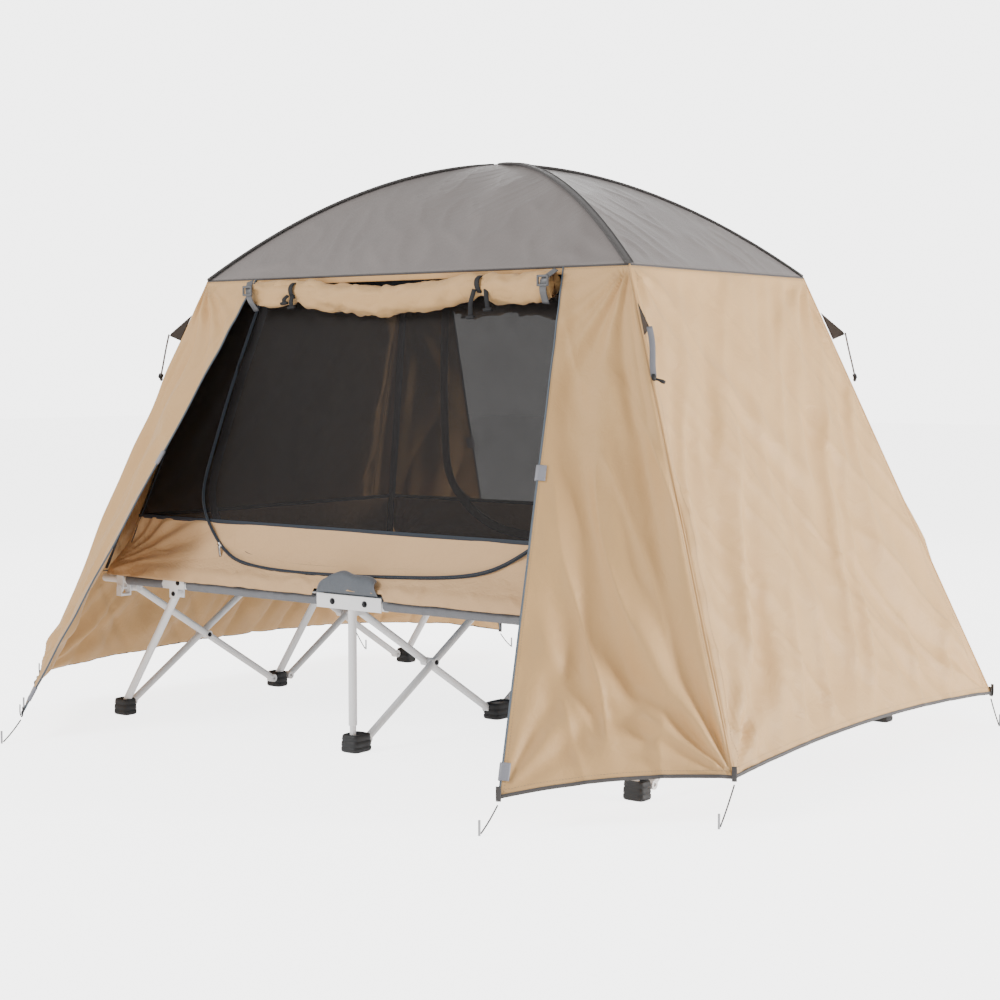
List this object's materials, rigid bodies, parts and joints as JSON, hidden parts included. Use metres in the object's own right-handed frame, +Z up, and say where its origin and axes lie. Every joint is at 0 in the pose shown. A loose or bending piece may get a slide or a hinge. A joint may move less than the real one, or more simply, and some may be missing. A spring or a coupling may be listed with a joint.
{
  "type": "folding cot",
  "caption": "Wide folding cot on scissor-braced legs with a fitted ridge tent over it, its doors rolled up.",
  "frame": {"origin": "on the floor at the centre of the centre foot", "axes": "+X along the cot to the right end, +Y to the back, +Z up"},
  "size_m": [2.546, 2.392, 1.6738],
  "materials": {
    "frame_steel": "satin",
    "foot_black": "matte",
    "bed_fabric": "matte",
    "fly_grey": "matte",
    "fly_tan": "matte",
    "skirt_tan": "matte",
    "mesh_dark": "matte",
    "pole_black": "satin",
    "rope_grey": "matte",
    "peg_steel": "satin"
  },
  "bodies": {
    "hub_middle": {"hub_middle": "frame_steel"},
    "brace_centre_front_a": {"brace_centre_front_a": "frame_steel"},
    "brace_centre_front_b": {"brace_centre_front_b": "frame_steel"},
    "hub_front": {"hub_front": "frame_steel"},
    "foot_front_middle": {"foot_front_middle": "foot_black", "post_front": "frame_steel"},
    "brace_centre_back_a": {"brace_centre_back_a": "frame_steel"},
    "brace_centre_back_b": {"brace_centre_back_b": "frame_steel"},
    "hub_back": {"hub_back": "frame_steel"},
    "foot_back_middle": {"foot_back_middle": "foot_black", "post_back": "frame_steel"},
    "foot_centre": {"foot_centre": "foot_black"},
    "rail_front_left": {"rail_front_left": "frame_steel"},
    "leg_front_left": {"leg_front_left": "frame_steel", "foot_front_left": "foot_black"},
    "knuckle_front_left": {"knuckle_front_left": "frame_steel"},
    "rail_front_right": {"rail_front_right": "frame_steel"},
    "leg_front_right": {"leg_front_right": "frame_steel", "foot_front_right": "foot_black"},
    "knuckle_front_right": {"knuckle_front_right": "frame_steel"},
    "rail_middle_left": {"rail_middle_left": "frame_steel", "bed_left": "bed_fabric"},
    "leg_middle_left": {"leg_middle_left": "frame_steel", "foot_middle_left": "foot_black"},
    "knuckle_middle_left": {"knuckle_middle_left": "frame_steel"},
    "rail_middle_right": {"rail_middle_right": "frame_steel", "bed_right": "bed_fabric"},
    "leg_middle_right": {"leg_middle_right": "frame_steel", "foot_middle_right": "foot_black"},
    "knuckle_middle_right": {"knuckle_middle_right": "frame_steel"},
    "rail_back_left": {"rail_back_left": "frame_steel"},
    "leg_back_left": {"leg_back_left": "frame_steel", "foot_back_left": "foot_black"},
    "knuckle_back_left": {"knuckle_back_left": "frame_steel"},
    "rail_back_right": {"rail_back_right": "frame_steel"},
    "leg_back_right": {"leg_back_right": "frame_steel", "foot_back_right": "foot_black"},
    "knuckle_back_right": {"knuckle_back_right": "frame_steel"},
    "brace_left_front_a": {"brace_left_front_a": "frame_steel"},
    "brace_left_front_b": {"brace_left_front_b": "frame_steel"},
    "brace_left_back_a": {"brace_left_back_a": "frame_steel"},
    "brace_left_back_b": {"brace_left_back_b": "frame_steel"},
    "brace_right_front_a": {"brace_right_front_a": "frame_steel"},
    "brace_right_front_b": {"brace_right_front_b": "frame_steel"},
    "brace_right_back_a": {"brace_right_back_a": "frame_steel"},
    "brace_right_back_b": {"brace_right_back_b": "frame_steel"},
    "tent": {"roof": "fly_grey", "end_wall_left": "fly_tan", "end_wall_right": "fly_tan", "flap_front_left": "fly_tan", "flap_front_right": "fly_tan", "flap_back_left": "fly_tan", "flap_back_right": "fly_tan", "door_roll_front": "fly_tan", "door_roll_back": "fly_tan", "inner_skirt": "skirt_tan", "inner_mesh": "mesh_dark", "poles": "pole_black", "ground_ropes": "rope_grey", "pegs": "peg_steel"}
  },
  "joints": [
    {"name": "cot_fold", "type": "hinge", "parent": "hub_middle", "child": "brace_centre_front_a", "pos_m": [0, -0.04, 0.393], "axis": [1, 0, 0], "range_deg": [0, 45.89]},
    {"name": "brace_centre_front_b_hinge", "type": "hinge", "parent": "brace_centre_front_a", "child": "brace_centre_front_b", "pos_m": [0, -0.3325, 0.213], "axis": [1, 0, 0], "range_deg": [-91.8, 0]},
    {"name": "hub_front_hinge", "type": "hinge", "parent": "brace_centre_front_b", "child": "hub_front", "pos_m": [0, -0.625, 0.393], "axis": [1, 0, 0], "range_deg": [0, 45.9]},
    {"name": "foot_front_hinge", "type": "hinge", "parent": "brace_centre_front_a", "child": "foot_front_middle", "pos_m": [0, -0.625, 0.033], "axis": [1, 0, 0], "range_deg": [-45.9, 0]},
    {"name": "brace_centre_back_a_hinge", "type": "hinge", "parent": "hub_middle", "child": "brace_centre_back_a", "pos_m": [0, 0.04, 0.393], "axis": [1, 0, 0], "range_deg": [-45.9, 0]},
    {"name": "brace_centre_back_b_hinge", "type": "hinge", "parent": "brace_centre_back_a", "child": "brace_centre_back_b", "pos_m": [0, 0.3325, 0.213], "axis": [1, 0, 0], "range_deg": [0, 91.8]},
    {"name": "hub_back_hinge", "type": "hinge", "parent": "brace_centre_back_b", "child": "hub_back", "pos_m": [0, 0.625, 0.393], "axis": [1, 0, 0], "range_deg": [-45.9, 0]},
    {"name": "foot_back_hinge", "type": "hinge", "parent": "brace_centre_back_a", "child": "foot_back_middle", "pos_m": [0, 0.625, 0.033], "axis": [1, 0, 0], "range_deg": [0, 45.9]},
    {"name": "foot_centre_hinge", "type": "hinge", "parent": "brace_centre_front_b", "child": "foot_centre", "pos_m": [0, -0.04, 0.033], "axis": [1, 0, 0], "range_deg": [0, 45.9]},
    {"name": "rail_front_left_hinge", "type": "hinge", "parent": "hub_front", "child": "rail_front_left", "pos_m": [-0.06, -0.665, 0.42], "axis": [0, 1, 0], "range_deg": [-58.01, 0]},
    {"name": "leg_front_left_hinge", "type": "hinge", "parent": "rail_front_left", "child": "leg_front_left", "pos_m": [-0.71, -0.665, 0.393], "axis": [0, 1, 0], "range_deg": [-114.35, 0]},
    {"name": "knuckle_front_left_hinge", "type": "hinge", "parent": "rail_front_left", "child": "knuckle_front_left", "pos_m": [-0.95, -0.665, 0.393], "axis": [0, 1, 0], "range_deg": [-83.99, 0]},
    {"name": "rail_front_right_hinge", "type": "hinge", "parent": "hub_front", "child": "rail_front_right", "pos_m": [0.06, -0.665, 0.42], "axis": [0, 1, 0], "range_deg": [0, 58.01]},
    {"name": "leg_front_right_hinge", "type": "hinge", "parent": "rail_front_right", "child": "leg_front_right", "pos_m": [0.71, -0.665, 0.393], "axis": [0, 1, 0], "range_deg": [0, 114.35]},
    {"name": "knuckle_front_right_hinge", "type": "hinge", "parent": "rail_front_right", "child": "knuckle_front_right", "pos_m": [0.95, -0.665, 0.393], "axis": [0, 1, 0], "range_deg": [0, 83.99]},
    {"name": "rail_middle_left_hinge", "type": "hinge", "parent": "hub_middle", "child": "rail_middle_left", "pos_m": [-0.06, 0, 0.42], "axis": [0, 1, 0], "range_deg": [-58.01, 0], "deforming": ["bed_left"]},
    {"name": "leg_middle_left_hinge", "type": "hinge", "parent": "rail_middle_left", "child": "leg_middle_left", "pos_m": [-0.71, 0, 0.393], "axis": [0, 1, 0], "range_deg": [-114.35, 0]},
    {"name": "knuckle_middle_left_hinge", "type": "hinge", "parent": "rail_middle_left", "child": "knuckle_middle_left", "pos_m": [-0.95, 0, 0.393], "axis": [0, 1, 0], "range_deg": [-83.99, 0]},
    {"name": "rail_middle_right_hinge", "type": "hinge", "parent": "hub_middle", "child": "rail_middle_right", "pos_m": [0.06, 0, 0.42], "axis": [0, 1, 0], "range_deg": [0, 58.01], "deforming": ["bed_right"]},
    {"name": "leg_middle_right_hinge", "type": "hinge", "parent": "rail_middle_right", "child": "leg_middle_right", "pos_m": [0.71, 0, 0.393], "axis": [0, 1, 0], "range_deg": [0, 114.35]},
    {"name": "knuckle_middle_right_hinge", "type": "hinge", "parent": "rail_middle_right", "child": "knuckle_middle_right", "pos_m": [0.95, 0, 0.393], "axis": [0, 1, 0], "range_deg": [0, 83.99]},
    {"name": "rail_back_left_hinge", "type": "hinge", "parent": "hub_back", "child": "rail_back_left", "pos_m": [-0.06, 0.665, 0.42], "axis": [0, 1, 0], "range_deg": [-58.01, 0]},
    {"name": "leg_back_left_hinge", "type": "hinge", "parent": "rail_back_left", "child": "leg_back_left", "pos_m": [-0.71, 0.665, 0.393], "axis": [0, 1, 0], "range_deg": [-114.35, 0]},
    {"name": "knuckle_back_left_hinge", "type": "hinge", "parent": "rail_back_left", "child": "knuckle_back_left", "pos_m": [-0.95, 0.665, 0.393], "axis": [0, 1, 0], "range_deg": [-83.99, 0]},
    {"name": "rail_back_right_hinge", "type": "hinge", "parent": "hub_back", "child": "rail_back_right", "pos_m": [0.06, 0.665, 0.42], "axis": [0, 1, 0], "range_deg": [0, 58.01]},
    {"name": "leg_back_right_hinge", "type": "hinge", "parent": "rail_back_right", "child": "leg_back_right", "pos_m": [0.71, 0.665, 0.393], "axis": [0, 1, 0], "range_deg": [0, 114.35]},
    {"name": "knuckle_back_right_hinge", "type": "hinge", "parent": "rail_back_right", "child": "knuckle_back_right", "pos_m": [0.95, 0.665, 0.393], "axis": [0, 1, 0], "range_deg": [0, 83.99]},
    {"name": "brace_left_front_a_hinge", "type": "hinge", "parent": "knuckle_middle_left", "child": "brace_left_front_a", "pos_m": [-0.95, -0.04, 0.393], "axis": [1, 0, 0], "range_deg": [0, 45.9]},
    {"name": "brace_left_front_b_hinge", "type": "hinge", "parent": "brace_left_front_a", "child": "brace_left_front_b", "pos_m": [-0.95, -0.3325, 0.213], "axis": [1, 0, 0], "range_deg": [-91.8, 0]},
    {"name": "brace_left_back_a_hinge", "type": "hinge", "parent": "knuckle_middle_left", "child": "brace_left_back_a", "pos_m": [-0.95, 0.04, 0.393], "axis": [1, 0, 0], "range_deg": [-45.9, 0]},
    {"name": "brace_left_back_b_hinge", "type": "hinge", "parent": "brace_left_back_a", "child": "brace_left_back_b", "pos_m": [-0.95, 0.3325, 0.213], "axis": [1, 0, 0], "range_deg": [0, 91.8]},
    {"name": "brace_right_front_a_hinge", "type": "hinge", "parent": "knuckle_middle_right", "child": "brace_right_front_a", "pos_m": [0.95, -0.04, 0.393], "axis": [1, 0, 0], "range_deg": [0, 45.9]},
    {"name": "brace_right_front_b_hinge", "type": "hinge", "parent": "brace_right_front_a", "child": "brace_right_front_b", "pos_m": [0.95, -0.3325, 0.213], "axis": [1, 0, 0], "range_deg": [-91.8, 0]},
    {"name": "brace_right_back_a_hinge", "type": "hinge", "parent": "knuckle_middle_right", "child": "brace_right_back_a", "pos_m": [0.95, 0.04, 0.393], "axis": [1, 0, 0], "range_deg": [-45.9, 0]},
    {"name": "brace_right_back_b_hinge", "type": "hinge", "parent": "brace_right_back_a", "child": "brace_right_back_b", "pos_m": [0.95, 0.3325, 0.213], "axis": [1, 0, 0], "range_deg": [0, 91.8]},
    {"name": "tent_lift", "type": "slide", "parent": "hub_middle", "child": "tent", "axis": [0, 0, 1], "range_m": [0, 0.6]}
  ],
  "couplings": [
    {"joint": "brace_centre_front_b_hinge", "follows": "cot_fold", "ratio": -2},
    {"joint": "hub_front_hinge", "follows": "cot_fold", "ratio": 1},
    {"joint": "foot_front_hinge", "follows": "cot_fold", "ratio": -1},
    {"joint": "brace_centre_back_a_hinge", "follows": "cot_fold", "ratio": -1},
    {"joint": "brace_centre_back_b_hinge", "follows": "cot_fold", "ratio": 2},
    {"joint": "hub_back_hinge", "follows": "cot_fold", "ratio": -1},
    {"joint": "foot_back_hinge", "follows": "cot_fold", "ratio": 1},
    {"joint": "foot_centre_hinge", "follows": "cot_fold", "ratio": 1},
    {"joint": "rail_front_left_hinge", "follows": "cot_fold", "ratio": -1.2638},
    {"joint": "leg_front_left_hinge", "follows": "cot_fold", "ratio": -2.4915},
    {"joint": "knuckle_front_left_hinge", "follows": "cot_fold", "ratio": -1.83},
    {"joint": "rail_front_right_hinge", "follows": "cot_fold", "ratio": 1.2638},
    {"joint": "leg_front_right_hinge", "follows": "cot_fold", "ratio": 2.4915},
    {"joint": "knuckle_front_right_hinge", "follows": "cot_fold", "ratio": 1.83},
    {"joint": "rail_middle_left_hinge", "follows": "cot_fold", "ratio": -1.2638},
    {"joint": "leg_middle_left_hinge", "follows": "cot_fold", "ratio": -2.4915},
    {"joint": "knuckle_middle_left_hinge", "follows": "cot_fold", "ratio": -1.83},
    {"joint": "rail_middle_right_hinge", "follows": "cot_fold", "ratio": 1.2638},
    {"joint": "leg_middle_right_hinge", "follows": "cot_fold", "ratio": 2.4915},
    {"joint": "knuckle_middle_right_hinge", "follows": "cot_fold", "ratio": 1.83},
    {"joint": "rail_back_left_hinge", "follows": "cot_fold", "ratio": -1.2638},
    {"joint": "leg_back_left_hinge", "follows": "cot_fold", "ratio": -2.4915},
    {"joint": "knuckle_back_left_hinge", "follows": "cot_fold", "ratio": -1.83},
    {"joint": "rail_back_right_hinge", "follows": "cot_fold", "ratio": 1.2638},
    {"joint": "leg_back_right_hinge", "follows": "cot_fold", "ratio": 2.4915},
    {"joint": "knuckle_back_right_hinge", "follows": "cot_fold", "ratio": 1.83},
    {"joint": "brace_left_front_a_hinge", "follows": "cot_fold", "ratio": 1},
    {"joint": "brace_left_front_b_hinge", "follows": "cot_fold", "ratio": -2},
    {"joint": "brace_left_back_a_hinge", "follows": "cot_fold", "ratio": -1},
    {"joint": "brace_left_back_b_hinge", "follows": "cot_fold", "ratio": 2},
    {"joint": "brace_right_front_a_hinge", "follows": "cot_fold", "ratio": 1},
    {"joint": "brace_right_front_b_hinge", "follows": "cot_fold", "ratio": -2},
    {"joint": "brace_right_back_a_hinge", "follows": "cot_fold", "ratio": -1},
    {"joint": "brace_right_back_b_hinge", "follows": "cot_fold", "ratio": 2}
  ]
}
